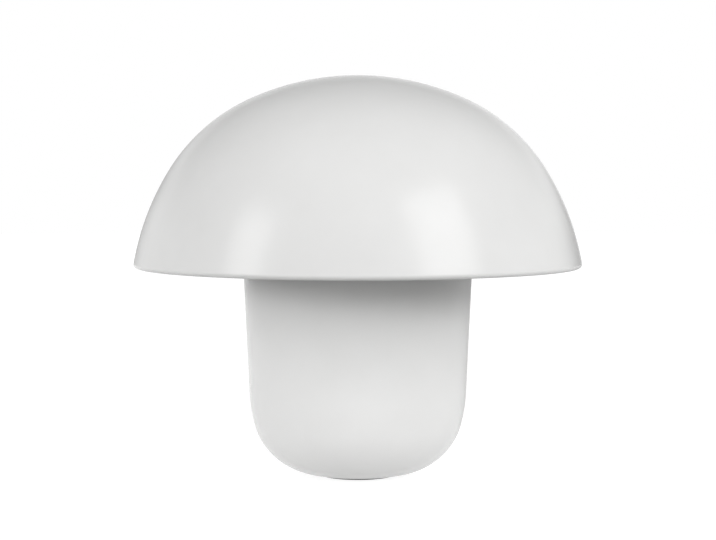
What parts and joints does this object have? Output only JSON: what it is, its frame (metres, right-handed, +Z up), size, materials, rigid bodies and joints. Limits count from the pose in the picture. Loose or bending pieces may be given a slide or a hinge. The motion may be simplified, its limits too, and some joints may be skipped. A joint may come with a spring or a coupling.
{
  "type": "table lamp",
  "caption": "Mushroom table lamp: a wide spun dome that lifts off its carrier, over a weighted bowl base with a screw-in bulb under the shade.",
  "frame": {"origin": "on the surface that the lamp stands on, under the middle of the base", "axes": "+Z up along the lamp's axis, -Y towards the front, with the cord outlet at the back at +Y"},
  "size_m": [0.44, 0.4398, 0.3942],
  "materials": {
    "white_enamel": "glossy",
    "plated_steel": "satin",
    "iron": "rough",
    "brass": "satin",
    "felt": "felted",
    "silicone": "matte",
    "bush_rubber": "matte",
    "holder_resin": "glossy",
    "glazed_ceramic": "glazed",
    "block_nylon": "matte",
    "brown_lead": "satin",
    "blue_lead": "satin",
    "green_lead": "satin",
    "bulb_glass": "clear",
    "black_glass": "glossy",
    "solder": "satin",
    "filament": "matte"
  },
  "bodies": {
    "base": {"base_shell": "white_enamel", "base_deck": "white_enamel", "deck_brackets": "white_enamel", "deck_screws": "plated_steel", "ballast": "iron", "ballast_bolt": "plated_steel", "ballast_washer": "plated_steel", "ballast_nut": "plated_steel", "foot_felt": "felt", "cord_bush": "bush_rubber", "shade_carrier": "white_enamel", "carrier_pads": "silicone", "carrier_nuts": "plated_steel", "holder_nipple": "plated_steel", "nipple_nut": "plated_steel", "nipple_washer": "plated_steel", "holder_cap": "holder_resin", "holder_skirt": "holder_resin", "holder_core": "glazed_ceramic", "holder_shell": "brass", "holder_contact": "brass", "holder_screws": "plated_steel", "terminal_block": "block_nylon", "terminal_screws": "plated_steel", "block_screw": "plated_steel", "earth_screw": "brass", "earth_nut": "brass", "earth_tag": "brass", "live_lead": "brown_lead", "neutral_lead": "blue_lead", "earth_lead": "green_lead"},
    "shade": {"shade_dome": "white_enamel", "shade_seat_ring": "white_enamel", "shade_tabs": "white_enamel"},
    "bulb_screw": {"bulb_contact": "solder"},
    "bulb": {"bulb_glass": "bulb_glass", "bulb_cap": "brass", "bulb_insulator": "black_glass", "bulb_stem": "bulb_glass", "bulb_filaments": "filament", "bulb_supports": "plated_steel"}
  },
  "joints": [
    {"name": "shade_lift", "type": "slide", "parent": "base", "child": "shade", "axis": [0, 0, 1], "range_m": [0, 0.2]},
    {"name": "bulb_rise", "type": "slide", "parent": "base", "child": "bulb_screw", "axis": [0, 0, 1], "range_m": [0, 0.0183]},
    {"name": "bulb_turn", "type": "hinge", "parent": "bulb_screw", "child": "bulb", "pos_m": [0, 0, 0.2505], "axis": [0, 0, 1], "range_deg": [0, 1800]}
  ],
  "couplings": [
    {"joint": "bulb_rise", "follows": "bulb_turn", "m_per_rad": 0.00057757}
  ]
}
